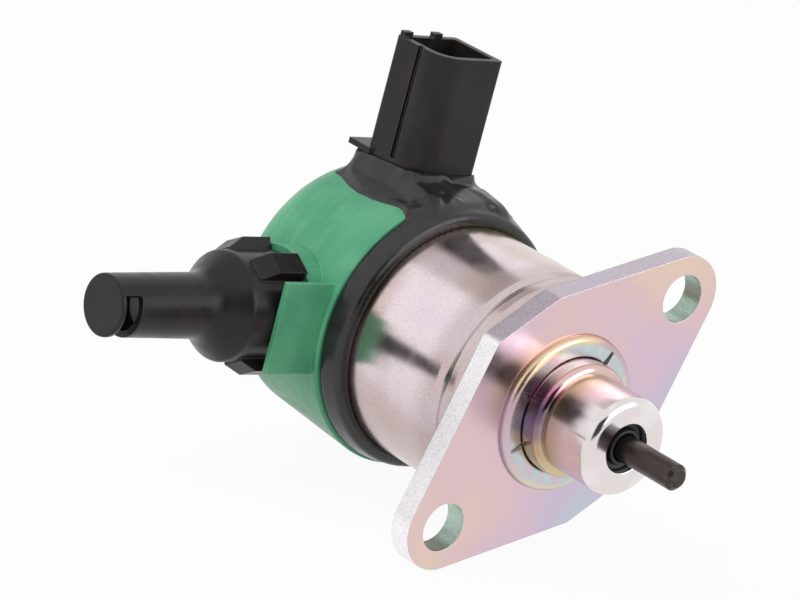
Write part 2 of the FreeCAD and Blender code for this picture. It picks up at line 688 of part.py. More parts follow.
def cap_ring_groove():
    middle = CAP_FRONT_X - CAP_RING_SETBACK
    half = CAP_RING_SECTION_R + SEAT_GAP
    return ring(middle - half, middle + half, CAN_R, CAN_R + 2 * half)


def cap_seal_ring():
    """Rubber ring round the can, in the end cap's groove."""
    middle = CAP_FRONT_X - CAP_RING_SETBACK
    centre_r = CAN_R + SEAT_GAP + CAP_RING_SECTION_R
    return Part.makeTorus(centre_r, CAP_RING_SECTION_R, Vector(middle, 0, 0), X_AXIS)


def vent_o_ring():
    """Rubber ring in the nozzle's groove, inside the vent cap's skirt."""
    centre_r = PORT_NOZZLE_R - VENT_RING_GROOVE_DEPTH + VENT_RING_SECTION_R
    return Part.makeTorus(
        centre_r, VENT_RING_SECTION_R,
        Vector(VENT_X, -VENT_RING_OUT, 0), Vector(0, 1, 0),
    )


def vent_filter():
    """Porous plug pressed into the vent tube."""
    return vent_rod(FILTER_START_OUT, FILTER_START_OUT + FILTER_LENGTH, VENT_TUBE_BORE_R - SEAT_GAP)


def vent_lug(angle):
    """One block on the skirt, ramped down towards the tube."""
    start = PORT_BOSS_OUT + VENT_LIFT
    finish = start + VENT_LUG_LENGTH
    root_r = VENT_SKIRT_BORE_R + LOOSE_GAP
    side = Part.Face(Part.makePolygon([
        Vector(root_r, -start, -VENT_LUG_WIDTH / 2),
        Vector(VENT_LUG_R, -start, -VENT_LUG_WIDTH / 2),
        Vector(VENT_LUG_R, -finish + VENT_LUG_RAMP, -VENT_LUG_WIDTH / 2),
        Vector(VENT_LUG_R - VENT_LUG_CHAMFER, -finish, -VENT_LUG_WIDTH / 2),
        Vector(root_r, -finish, -VENT_LUG_WIDTH / 2),
        Vector(root_r, -start, -VENT_LUG_WIDTH / 2),
    ]))
    lug = side.extrude(Vector(0, 0, VENT_LUG_WIDTH))
    lug.rotate(CENTRE, Vector(0, 1, 0), -angle)
    lug.translate(Vector(VENT_X, 0, 0))
    return lug


def vent_cap():
    """Moulded breather: lugged skirt, domed shoulder and a closed tube with a slot near its end."""
    start = PORT_BOSS_OUT + VENT_LIFT
    bore_end = VENT_TIP_OUT - VENT_END_THICKNESS
    skirt_end = PORT_NOZZLE_OUT + LOOSE_GAP
    cap = turned_on_vent((
        (start, VENT_SKIRT_BORE_R),
        (start, VENT_SKIRT_R),
        (VENT_SHOULDER_OUT, VENT_SKIRT_R, VENT_SHOULDER_ROUND),
        (VENT_TUBE_START_OUT, VENT_TUBE_ROOT_R, VENT_NECK_ROUND),
        (VENT_TIP_OUT, VENT_TUBE_TIP_R, LOOSE_GAP),
        (VENT_TIP_OUT, 0),
        (bore_end, 0),
        (bore_end, VENT_TUBE_BORE_R),
        (skirt_end, VENT_TUBE_BORE_R),
        (skirt_end, VENT_SKIRT_BORE_R),
    ))
    cap = cap.fuse([vent_lug(angle) for angle in VENT_LUG_ANGLES])
    reach = VENT_SKIRT_R
    slot = Part.makeBox(
        reach, VENT_WINDOW_WIDTH, 2 * reach,
        Vector(0, -bore_end, -reach),
    )
    slot.rotate(CENTRE, Vector(0, 1, 0), -VENT_WINDOW_TURN)
    slot.translate(Vector(VENT_X, 0, 0))
    return cap.cut(slot).removeSplitter()


def connector_outline(inset, z):
    """The housing's section: one large corner towards the front and the vent's side."""
    half_x = CONNECTOR_LENGTH_X / 2 - inset
    half_y = CONNECTOR_LENGTH_Y / 2 - inset

    def place(a, b):
        return Vector(CONNECTOR_X + a, b, z)

    return rounded_face((
        (-half_x, -half_y, CONNECTOR_SMALL_ROUND),
        (half_x, -half_y, CONNECTOR_BIG_ROUND - inset),
        (half_x, half_y, CONNECTOR_SMALL_ROUND),
        (-half_x, half_y, CONNECTOR_SMALL_ROUND),
    ), place)


def connector_root(gap, bottom):
    """The block under the housing that passes through the end cap's wall."""
    half_x = CONNECTOR_LENGTH_X / 2 - CONNECTOR_ROOT_INSET + gap
    half_y = CONNECTOR_LENGTH_Y / 2 - CONNECTOR_ROOT_INSET + gap
    return box(
        (CONNECTOR_X - half_x, CONNECTOR_X + half_x), (-half_y, half_y),
        (bottom, LEDGE_TOP_Z),
    )


def rim_ear(y):
    """A low ear on the rear wall's rim that keys the mating plug."""
    return box(
        (CONNECTOR_REAR_X, CONNECTOR_REAR_X + CONNECTOR_WALL),
        (y - EAR_WIDTH / 2, y + EAR_WIDTH / 2),
        (CONNECTOR_TOP_Z - EAR_RISE, CONNECTOR_TOP_Z + EAR_RISE),
    )


def connector_form():
    """The housing's outside, filled: the upright outline, the rear ledge and the root."""
    height = CONNECTOR_TOP_Z - LEDGE_TOP_Z + LEDGE_THICKNESS
    form = connector_outline(0, LEDGE_TOP_Z - LEDGE_THICKNESS).extrude(Vector(0, 0, height))
    half_y = CONNECTOR_LENGTH_Y / 2
    ledge = box(
        (CONNECTOR_REAR_X - LEDGE_REAR_REACH, CONNECTOR_REAR_X + CONNECTOR_WALL),
        (-half_y - LEDGE_SIDE_REACH, half_y + LEDGE_SIDE_REACH),
        (LEDGE_TOP_Z - LEDGE_THICKNESS, LEDGE_TOP_Z),
    )
    return form.fuse([ledge, connector_root(0, CONNECTOR_ROOT_Z)])


def connector_housing():
    """Open socket on a ledge, with a key groove, two ears and slots for the blades."""
    half_y = CONNECTOR_LENGTH_Y / 2
    first_ear_y = -half_y + CONNECTOR_SMALL_ROUND + EAR_WIDTH / 2
    housing = connector_form().fuse([rim_ear(first_ear_y), rim_ear(first_ear_y + EAR_SPACING)])
    socket = connector_outline(CONNECTOR_WALL, CONNECTOR_FLOOR_Z)
    housing = housing.cut(socket.extrude(Vector(0, 0, CONNECTOR_TOP_Z)))
    key_groove = box(
        (CONNECTOR_X - KEY_GROOVE_WIDTH / 2, CONNECTOR_X + KEY_GROOVE_WIDTH / 2),
        (-half_y, -half_y + KEY_GROOVE_DEPTH),
        (LEDGE_TOP_Z, CONNECTOR_TOP_Z),
    )
    housing = housing.cut(key_groove)
    for y in TERMINAL_YS:
        housing = housing.cut(terminal_blank(y, SEAT_GAP))
    return housing.removeSplitter()


def terminal_blank(y, gap):
    half_x = TERMINAL_THICKNESS / 2 + gap
    half_y = TERMINAL_WIDTH / 2 + gap
    return box(
        (CONNECTOR_X - half_x, CONNECTOR_X + half_x), (y - half_y, y + half_y),
        (TERMINAL_BOTTOM_Z, TERMINAL_TOP_Z),
    )


def terminal(y):
    """Flat blade with a chamfered tip."""
    blade = terminal_blank(y, 0)
    tips = [edge for edge in blade.Edges if edge.BoundBox.ZMin > TERMINAL_TOP_Z - TERMINAL_POINT]
    return blade.makeChamfer(TERMINAL_THICKNESS / 3, tips)


def lead(y):
    """Insulated wire from the winding, through the yoke and up to its blade."""
    start_x = BOBBIN_REAR_X + BOBBIN_FLANGE
    bend = LEAD_BEND_R
    middle = bend * (1 - math.sqrt(0.5))
    path = Part.Wire([
        Part.LineSegment(Vector(start_x, y, LEAD_Z), Vector(CONNECTOR_X + bend, y, LEAD_Z)).toShape(),
        Part.Arc(
            Vector(CONNECTOR_X + bend, y, LEAD_Z),
            Vector(CONNECTOR_X + middle, y, LEAD_Z + middle),
            Vector(CONNECTOR_X, y, LEAD_Z + bend),
        ).toShape(),
        Part.LineSegment(
            Vector(CONNECTOR_X, y, LEAD_Z + bend), Vector(CONNECTOR_X, y, TERMINAL_BOTTOM_Z)
        ).toShape(),
    ])
    section = Part.Wire(Part.makeCircle(LEAD_R, Vector(start_x, y, LEAD_Z), X_AXIS))
    return path.makePipeShell([section], True, True)


def saddle():
    """The stretched skin that rises from the band and the cap to the connector."""
    width = CAN_R

    def from_side(a, b):
        return Vector(a, -width, b)

    def from_front(a, b):
        return Vector(CAP_REAR_X, a, b)

    long_form = rounded_face(SADDLE_SIDE_OUTLINE, from_side).extrude(Vector(0, 2 * width, 0))
    mirrored = [(-corner[0], *corner[1:]) for corner in reversed(SADDLE_FLANK)]
    cross_form = rounded_face((*SADDLE_FLANK, *mirrored), from_front)
    cross_form = cross_form.extrude(Vector(CAN_FRONT_X - CAP_REAR_X, 0, 0))
    body = long_form.common(cross_form).removeSplitter()
    corners = [edge for edge in body.Edges if runs_upward(edge)]
    return body.makeFillet(SADDLE_ROUND, corners).common(saddle_footprint()).cut(above_saddle())


def saddle_footprint():
    """The saddle's outline from above, with large rear corners."""
    rear = CONNECTOR_REAR_X - 3.2

    def place(a, b):
        return Vector(a, b, 0)

    outline = (
        (rear, -SADDLE_SKIN_HALF_WIDTH, SADDLE_CORNER_ROUND),
        (CAN_FRONT_X, -SADDLE_SKIN_HALF_WIDTH),
        (CAN_FRONT_X, SADDLE_SKIN_HALF_WIDTH),
        (rear, SADDLE_SKIN_HALF_WIDTH, SADDLE_CORNER_ROUND),
    )
    return rounded_face(outline, place).extrude(Vector(0, 0, SADDLE_ABOVE_Z))


def runs_upward(edge):
    start, finish = edge.Vertexes[0].Point, edge.Vertexes[-1].Point
    leans = abs(start.x - finish.x) > 1e-6 or abs(start.y - finish.y) > 1e-6
    return abs(start.z - finish.z) > 0.01 and leans


def above_saddle():
    """Everything over the saddle's slanted top."""
    rear = CONNECTOR_REAR_X - 2 * LEDGE_REAR_REACH
    front = CAN_FRONT_X
    rise = (SADDLE_TOP_FRONT_Z - SADDLE_TOP_REAR_Z) / (CONNECTOR_FRONT_X - CONNECTOR_REAR_X)
    rear_z = SADDLE_TOP_REAR_Z + rise * (rear - CONNECTOR_REAR_X)
    front_z = SADDLE_TOP_REAR_Z + rise * (front - CONNECTOR_REAR_X)

    def place(a, b):
        return Vector(a, -CAN_R, b)

    outline = (
        (rear, rear_z), (front, front_z), (front, CONNECTOR_TOP_Z), (rear, CONNECTOR_TOP_Z),
    )
    return rounded_face(outline, place).extrude(Vector(0, 2 * CAN_R, 0))


def sealing_boot(cap):
    """Black sealing piece: a round band over the joint, grown into the connector's saddle."""
    rear = CAP_FRONT_X
    band = turned((
        (rear, CAN_R + SEAT_GAP),
        (rear, BAND_REAR_R, BAND_ROUND / 2),
        (BAND_FRONT_X, BAND_FRONT_R, BAND_ROUND),
        (BAND_FRONT_X, CAN_R + SEAT_GAP),
    ))
    inside = ring(CAP_REAR_X, BAND_FRONT_X + LOOSE_GAP, 0, CAN_R + SEAT_GAP)
    body = saddle().cut(cap_outer_form()).cut(inside).fuse(band)
    ahead = ring(BAND_FRONT_X, CAN_FRONT_X, 0, CAP_FRONT_R + CAN_R)
    return body.cut(ahead).cut(cap).cut(connector_form()).removeSplitter()


def save(name, shape):
    solids = shape.Solids
    assert len(solids) == 1, name + " is not one solid"
    assert solids[0].isValid(), name + " is not valid"
    solids[0].exportStep(os.path.join("parts", name + ".step"))
    print(name, round(solids[0].Volume, 2))


def main():
    os.makedirs("parts", exist_ok=True)
    save("mounting_flange", mounting_flange())
    save("case_can", case_can())
    save("front_yoke", front_yoke())
    save("nose_cup", nose_cup())
    save("front_stop_washer", front_stop_washer())
    save("pin_bush", pin_bush())
    save("rod_seal", rod_seal())
    save("plunger_pin", plunger_pin())
    save("armature", armature())
    save("return_spring", return_spring())
    save("guide_sleeve", guide_sleeve())
    save("fixed_core", fixed_core())
    save("residual_washer", residual_washer())
    save("rear_yoke", rear_yoke())
    save("bobbin", bobbin())
    save("pull_in_coil", winding(BOBBIN_TUBE_R + COIL_GAP, PULL_COIL_R))
    save("hold_in_coil", winding(PULL_COIL_R + COIL_GAP, HOLD_COIL_R))
    save("coil_wrap", winding(HOLD_COIL_R + COIL_GAP, WRAP_R))
    cap = end_cap()
    save("end_cap", cap)
    save("sealing_boot", sealing_boot(cap))
    save("connector_housing", connector_housing())
    save("cap_seal_ring", cap_seal_ring())
    save("vent_cap", vent_cap())
    save("vent_o_ring", vent_o_ring())
    save("vent_filter", vent_filter())
    for number, y in enumerate(TERMINAL_YS, 1):
        save("terminal_" + str(number), terminal(y))
        save("lead_" + str(number), lead(y))


main()
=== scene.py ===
import json
import math

import bmesh
import bpy
from mathutils import Matrix, Vector, noise


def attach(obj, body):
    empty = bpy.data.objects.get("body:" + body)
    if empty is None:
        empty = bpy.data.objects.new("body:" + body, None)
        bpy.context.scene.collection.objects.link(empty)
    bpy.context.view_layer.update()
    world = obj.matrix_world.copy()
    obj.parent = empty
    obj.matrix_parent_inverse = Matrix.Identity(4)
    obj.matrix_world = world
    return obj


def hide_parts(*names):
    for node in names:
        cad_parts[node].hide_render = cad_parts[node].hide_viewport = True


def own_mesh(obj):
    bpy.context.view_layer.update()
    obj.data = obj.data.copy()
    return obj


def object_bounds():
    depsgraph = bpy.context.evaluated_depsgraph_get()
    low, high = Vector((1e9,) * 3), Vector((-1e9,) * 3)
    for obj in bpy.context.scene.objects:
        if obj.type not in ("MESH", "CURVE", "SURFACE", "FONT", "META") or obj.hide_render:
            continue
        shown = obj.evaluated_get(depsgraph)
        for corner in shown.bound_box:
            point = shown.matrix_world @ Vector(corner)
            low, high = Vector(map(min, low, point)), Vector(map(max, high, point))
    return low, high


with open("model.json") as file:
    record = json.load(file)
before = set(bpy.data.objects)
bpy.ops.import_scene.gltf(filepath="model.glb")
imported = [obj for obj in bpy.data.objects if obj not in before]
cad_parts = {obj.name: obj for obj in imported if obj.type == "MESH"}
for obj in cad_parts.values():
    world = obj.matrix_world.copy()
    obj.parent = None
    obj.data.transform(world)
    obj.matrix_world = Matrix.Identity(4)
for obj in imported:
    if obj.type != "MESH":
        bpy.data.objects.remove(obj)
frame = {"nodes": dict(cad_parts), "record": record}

CAD_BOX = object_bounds()
MM = 0.001

# Camera: where it stands, where it looks and its lens, in metres and degrees
CAMERA_AT = Vector((0.514131, -0.537442, 0.217512))
CAMERA_FORWARD = Vector((-0.69388625, 0.66851523, -0.26759905))
CAMERA_UP = Vector((-0.36406894, -0.00507373, 0.93135818))
SENSOR_WIDTH = 36.0
FOCAL_LENGTH = 215.04

# Stage, in metres. The floor shows its glow to camera and glossy rays and its colour to the rest.
WHITE = (1.0, 1.0, 1.0)
WORLD_COLOUR = (0.80, 0.80, 0.81, 1.0)
WORLD_STRENGTH = 0.45
FLOOR_HALF = 6.0
FLOOR_DROP = 0.0004
FLOOR_GLOW = 0.94
FLOOR_COLOUR = (0.86, 0.86, 0.86, 1.0)
MIDDLE = (-0.02, 0, 0)

# Lamps as (name, place, size, watts, seen in reflections)
LAMPS = (
    ("key_left", (-0.35, -0.75, 0.85), (1.0, 1.0), 9.0, False),
    ("fill_right", (0.9, 0.25, 0.55), (1.0, 0.7), 4.0, True),
    ("front_low", (0.55, -0.75, 0.10), (0.5, 0.4), 1.5, False),
)

# Dull boards that only reflections see, as (name, place, size, shade)
BOARDS = (
    ("board_camera_side", (1.05, -0.58, 0.46), (1.45, 0.95), (0.05, 0.045, 0.04)),
    ("board_overhead", (-0.52, 0.02, 0.55), (0.42, 0.34), (0.62, 0.59, 0.57)),
    ("board_horizon", (-0.20, -0.21, -0.018), (0.30, 0.013), (0.10, 0.08, 0.06)),
)

# Skin of the sealing boot, in millimetres
BOOT_VOXEL = 0.40
SMOOTH_PASSES = 8
SMOOTH_FACTOR = 0.5
SKIN_MIN = 0.5
FACING_OUT = 0.15
CONNECTOR_MARGIN = 0.3
LUMP_SIZE = 4.0
LUMP_HEIGHT = 0.14
RIPPLE_SIZE = 1.7
RIPPLE_ON_BAND = 0.01
RIPPLE_HEIGHT = 0.05
SADDLE_RISE = 1.5

# Film of the skin over the cap, in millimetres: its height and depth, its mesh, how its edge
# fades, and the edge itself as (place along X, distance from the middle)
FILM_TOP = 0.30
FILM_UNDER = -0.7
FILM_SUNK = 0.12
FILM_STEP = 0.5
FILM_ROWS = 16
FILM_FRONT_GAP = 0.1
FILM_REAR_GAP = 0.8
EDGE_DEPTH = 0.15
EDGE_FADE = 0.35
EDGE_WANDER = 0.12
EDGE_WANDER_SIZE = 2.5
UPHILL_FROM = 0.8
UPHILL_SLOPE = 1.2
FILM_OUTSIDE = 0.3
FILM_INSIDE = -0.4
FILM_LEAST = 0.25
FILM_EDGE = (
    (-58.0, 9.2), (-57.6, 9.4), (-53.9, 10.75), (-50.8, 11.65), (-47.6, 11.9), (-44.5, 11.85),
    (-41.2, 11.6), (-38.7, 11.2), (-37.5, 11.3), (-35.7, 11.9), (-34.0, 12.6),
)

# Folds of the skin as (from, to, width, height), its flat spot, and the neck in front of the
# connector's foot as (from, to, width, depth)
BOOT_FOLDS = (
    ((-43.0, -7.4, 25.2), (-37.0, -9.2, 22.2), 1.3, 0.16),
    ((-41.6, -6.9, 25.3), (-36.4, -5.2, 24.6), 1.5, -0.30),
    ((-35.2, -7.6, 23.6), (-33.9, -8.0, 23.2), 1.5, 0.18),
    ((-35.4, -4.6, 24.2), (-32.4, -6.6, 23.3), 1.2, -0.28),
    ((-36.2, 4.6, 24.4), (-33.4, 4.9, 23.4), 1.4, 0.22),
    ((-37.6, 3.1, 24.8), (-31.9, 5.7, 22.7), 0.9, 0.15),
    ((-32.7, 3.5, 23.4), (-32.3, 4.5, 23.1), 0.9, -0.35),
    ((-39.6, -1.3, 25.6), (-39.5, 0.7, 25.5), 0.7, -0.25),
    ((-37.5, -3.9, 24.8), (-33.5, -2.2, 23.9), 0.9, 0.15),
)
BOOT_DIMPLE = (-34.6, -7.9, 23.4)
BOOT_DIMPLE_R = 1.7
NECK = ((-39.9, 1.4, 25.8), (-39.6, 7.0, 25.5), 2.1, 0.9)
NECK_BASE_Z = 24.0
NECK_MARGIN = 0.1

# Places on the solenoid, in millimetres, as in the frame
CAN_R = 20.65
CAP_FRONT_X = -34.9
CAP_FRONT_R = 23.85
CAP_SLOPE = 0.0658
CAP_ROUND = 8.0
CAP_ROUND_X = -55.0
CAP_ROUND_R = 14.51
BAND_OUTER_R = 23.45
BAND_LIP = 0.45
BAND_REAR_GAP = 0.4
CAN_CLEARANCE = 0.05
CONNECTOR_X = -47.5
CONNECTOR_HALF_X = 6.3
CONNECTOR_HALF_Y = 6.65
BOLT_HOLE_OUT = 28.0
BOLT_HOLE_R = 4.2
COLLAR_FLAT_R = 12.4
NOSE_BEAD_TOP = 4.9

# Edges: rubbed on metal and painted with a highlight on moulded parts. The bevelled normal against
# the true one, as a dot product, where the edge mark starts and where it is full
BEVEL_SAMPLES = 6
EDGE_MARK_STARTS = 0.98
EDGE_MARK_FULL = 0.80


def srgb(red, green, blue):
    """Linear colour of an 8-bit sRGB one."""
    def linear(value):
        value /= 255.0
        return value / 12.92 if value <= 0.04045 else ((value + 0.055) / 1.055) ** 2.4
    return (linear(red), linear(green), linear(blue), 1.0)


class Nodes:
    """A small helper that adds shader nodes and links to one material."""

    def __init__(self, name):
        self.material = bpy.data.materials.new(name)
        self.material.use_nodes = True
        self.tree = self.material.node_tree
        self.shader = self.tree.nodes["Principled BSDF"]

    def add(self, kind, **settings):
        node = self.tree.nodes.new(kind)
        for key, value in settings.items():
            setattr(node, key, value)
        return node

    def link(self, source, target):
        self.tree.links.new(source, target)

    def feed(self, value, socket):
        """Links a socket's value, or sets a plain one."""
        if isinstance(value, bpy.types.NodeSocket):
            self.link(value, socket)
        else:
            socket.default_value = value

    def set(self, **values):
        for key, value in values.items():
            self.shader.inputs[key.replace("_", " ")].default_value = value

    def position(self, stretch=(1.0, 1.0, 1.0)):
        """Object coordinates in millimetres, scaled along each axis."""
        scale = self.add("ShaderNodeVectorMath", operation="MULTIPLY")
        scale.inputs[1].default_value = [value / MM for value in stretch]
        self.link(self.add("ShaderNodeTexCoord").outputs["Object"], scale.inputs[0])
        return scale.outputs[0]

    def facing(self, direction):
        """How far the surface faces along a direction, from -1 to 1."""
        return self.along(self.add("ShaderNodeTexCoord").outputs["Normal"], direction)

    def along(self, vector, direction):
        """Distance along a direction."""
        node = self.add("ShaderNodeVectorMath", operation="DOT_PRODUCT")
        node.inputs[1].default_value = Vector(direction).normalized()
        self.link(vector, node.inputs[0])
        return node.outputs["Value"]

    def far_from(self, vector, point):
        """Distance from a point."""
        node = self.add("ShaderNodeVectorMath", operation="DISTANCE")
        node.inputs[1].default_value = point
        self.link(vector, node.inputs[0])
        return node.outputs["Value"]

    def calc(self, first, second, operation="ADD"):
        """Two values through one math node."""
        node = self.add("ShaderNodeMath", operation=operation)
        self.feed(first, node.inputs[0])
        self.feed(second, node.inputs[1])
        return node.outputs[0]

    def weighted(self, base, *terms):
        """base plus each value times its weight."""
        total = base
        for value, weight in terms:
            node = self.add("ShaderNodeMath", operation="MULTIPLY_ADD")
            self.feed(value, node.inputs[0])
            self.feed(weight, node.inputs[1])
            self.feed(total, node.inputs[2])
            total = node.outputs[0]
        return total

    def noise(self, place, size, detail=3.0, roughness=0.55, distortion=0.0):
        """Noise whose features are about size millimetres across."""
        node = self.add("ShaderNodeTexNoise")
        for name, value in (
            ("Scale", 1.0 / size), ("Detail", detail),
            ("Roughness", roughness), ("Distortion", distortion),
        ):
            node.inputs[name].default_value = value
        self.link(place, node.inputs["Vector"])
        return node.outputs["Fac"]

    def ramp(self, value, stops):
        """Colour that runs softly through stops as (value, colour)."""
        node = self.add("ShaderNodeValToRGB")
        band = node.color_ramp
        band.interpolation = "EASE"
        while len(band.elements) < len(stops):
            band.elements.new(0.5)
        for element, (place, colour) in zip(band.elements, stops):
            element.position = place
            element.color = colour
        self.link(value, node.inputs["Fac"])
        return node.outputs["Color"]

    def span(self, value, low, high, to_low, to_high, kind="LINEAR"):
        """The value carried from one range to another, and held at its ends."""
        node = self.add("ShaderNodeMapRange", interpolation_type=kind)
        sockets = ("From Min", "From Max", "To Min", "To Max")
        for socket, number in zip(sockets, (low, high, to_low, to_high)):
            node.inputs[socket].default_value = number
        self.link(value, node.inputs["Value"])
        return node.outputs["Result"]

    def soft(self, value, start, finish):
        """0 before start and 1 after finish, with an eased step between them."""
        if start < finish:
            return self.span(value, start, finish, 0.0, 1.0, "SMOOTHSTEP")
        return self.span(value, finish, start, 1.0, 0.0, "SMOOTHSTEP")

    def mix(self, factor, first, second):
        """The first colour at 0 and the second at 1."""
        node = self.add("ShaderNodeMix", data_type="RGBA", blend_type="MIX")
        for index, value in ((0, factor), (6, first), (7, second)):
            self.feed(value, node.inputs[index])
        return node.outputs[2]

    def bump(self, height, distance, below=None):
        """Bump whose full height is distance millimetres."""
        node = self.add("ShaderNodeBump")
        node.inputs["Distance"].default_value = distance * MM
        node.inputs["Strength"].default_value = 1.0
        self.link(height, node.inputs["Height"])
        if below is not None:
            self.link(below, node.inputs["Normal"])
        return node.outputs["Normal"]

    def edges_worn_and_highlit(self, radius):
        """0 on flat faces and up to 1 on edges, and the normal with its edges rounded."""
        bevel = self.add("ShaderNodeBevel", samples=BEVEL_SAMPLES)
        bevel.inputs["Radius"].default_value = radius * MM
        geometry = self.add("ShaderNodeNewGeometry")
        dot = self.add("ShaderNodeVectorMath", operation="DOT_PRODUCT")
        self.link(bevel.outputs["Normal"], dot.inputs[0])
        self.link(geometry.outputs["Normal"], dot.inputs[1])
        worn = self.span(dot.outputs["Value"], EDGE_MARK_STARTS, EDGE_MARK_FULL, 0.0, 1.0)
        return worn, bevel.outputs["Normal"]


def moulded(name, dark, light, roughness, grain=0.35, grain_height=0.006, cloud=7.0, edge=None,
            gloss=0.5):
    """Moulded plastic or rubber: fine grain, faint clouding, and an edge colour that is a painted
    highlight.
    """
    m = Nodes(name)
    place = m.position()
    colour = m.ramp(m.noise(place, cloud, detail=4.0), ((0.32, dark), (0.70, light)))
    edge_wear_and_highlight, soft_normal = m.edges_worn_and_highlit(0.25)
    # The edge colour is a painted highlight along the rims.
    if edge is not None:
        colour = m.mix(m.calc(edge_wear_and_highlight, 0.7, "MULTIPLY"), colour, edge)
    m.link(colour, m.shader.inputs["Base Color"])
    smears = m.noise(m.position((0.35, 1.0, 1.0)), 2.5, detail=5.0, roughness=0.6)
    varied = m.span(smears, 0.3, 0.7, roughness - 0.06, roughness + 0.08)
    m.link(varied, m.shader.inputs["Roughness"])
    fine = m.noise(place, grain, detail=4.0, roughness=0.6)
    m.link(m.bump(fine, grain_height, below=soft_normal), m.shader.inputs["Normal"])
    m.set(Specular_IOR_Level=gloss)
    return m


def cap_material():
    """Green moulding with faint flow lines round its axis."""
    dark, light = srgb(70, 149, 111), srgb(86, 165, 125)
    # The pale edge colour is a painted highlight along the cap's edges.
    m = moulded("cap_plastic", dark, light, 0.34, cloud=9.0, edge=srgb(128, 192, 156),
                gloss=0.4)
    colour = m.shader.inputs["Base Color"].links[0].from_socket
    flow = m.noise(m.position((1.0, 0.10, 0.10)), 1.3, detail=3.0, roughness=0.6)
    paler = m.mix(m.span(flow, 0.50, 0.75, 0.0, 0.22), colour, srgb(142, 200, 168))
    m.link(paler, m.shader.inputs["Base Color"])
    return m


def plated(name, roughness, grain, grain_height, stretch=(1.0, 1.0, 1.0), edge=0.12):
    """Bare plated steel: satin grain, smears and soft edges, ready for its film's colour."""
    m = Nodes(name)
    streaks = m.noise(m.position(stretch), grain, detail=5.0, roughness=0.7)
    smears = m.noise(m.position(), 3.0, detail=4.0)
    varied = m.span(smears, 0.3, 0.7, roughness - 0.04, roughness + 0.05)
    m.link(varied, m.shader.inputs["Roughness"])
    edge_wear_and_highlight, soft_normal = m.edges_worn_and_highlit(edge)
    m.link(m.bump(streaks, grain_height, below=soft_normal), m.shader.inputs["Normal"])
    m.set(Metallic=1.0)
    return m, edge_wear_and_highlight


def speckled(m, place, colour, size, amount):
    """A colour with fine light and dark specks."""
    specks = m.noise(place, size, detail=2.0, roughness=0.7)
    shade = m.span(specks, 0.3, 0.7, 1.0 - amount, 1.0 + amount)
    node = m.add("ShaderNodeVectorMath", operation="SCALE")
    m.link(colour, node.inputs[0])
    m.link(shade, node.inputs["Scale"])
    return node.outputs[0]


def flange_material():
    """Zinc plate, its film peach at the ends, lilac between them and blue along one side."""
    m, edge_wear_and_highlight = plated("flange_plate", 0.20, 0.30, 0.003, edge=0.16)
    place = m.position()
    length = m.along(place, (0, 1, 1))
    breadth = m.along(place, (0, 1, -1))
    from_middle = m.calc(length, 0.0, "ABSOLUTE")
    clouds = m.noise(place, 17.0, detail=1.5, roughness=0.4, distortion=0.3)
    film = m.weighted(
        0.42 - 0.60 * 0.5,
        (clouds, 0.60),
        (m.soft(from_middle, 18.0, 34.0), -0.20),
        (m.soft(breadth, 3.0, 20.0), 0.24),
        (m.soft(breadth, -12.0, -20.0), 0.06),
    )
    colour = m.ramp(film, (
        (0.08, srgb(222, 208, 186)), (0.22, srgb(227, 202, 187)), (0.38, srgb(221, 192, 196)),
        (0.52, srgb(214, 190, 205)), (0.66, srgb(202, 190, 211)), (0.80, srgb(190, 203, 210)),
        (0.95, srgb(206, 214, 188)),
    ))
    pits = m.soft(m.noise(place, 0.9, detail=1.0), 0.80, 0.84)
    colour = m.mix(m.calc(pits, 0.35, "MULTIPLY"), colour, srgb(120, 104, 108))
    colour = m.mix(m.calc(edge_wear_and_highlight, 0.75, "MULTIPLY"), colour, srgb(244, 238, 242))
    sheared = m.soft(m.calc(m.facing((1, 0, 0)), 0.0, "ABSOLUTE"), 0.75, 0.35)
    beyond = m.calc(m.weighted(-BOLT_HOLE_OUT, (from_middle, 1.0)), 2.0, "POWER")
    from_hole = m.calc(m.weighted(beyond, (breadth, breadth)), 0.5, "POWER")
    bored = m.soft(from_hole, BOLT_HOLE_R + 0.6, BOLT_HOLE_R + 0.2)
    # The sheared wall's colour is painted light: lighter where it faces -Y, the side the key lamp
    # lights, darker elsewhere.
    painted_lit_side = m.soft(m.facing((0, -1, -0.2)), 0.35, 0.85)
    wall = m.mix(painted_lit_side, srgb(198, 188, 200), srgb(250, 246, 250))
    wall = m.mix(bored, wall, srgb(176, 196, 184))
    wall = speckled(m, place, wall, 0.30, 0.22)
    m.link(m.mix(sheared, colour, wall), m.shader.inputs["Base Color"])
    base = m.shader.inputs["Roughness"].links[0].from_socket
    m.link(m.weighted(base, (sheared, 0.14)), m.shader.inputs["Roughness"])
    return m


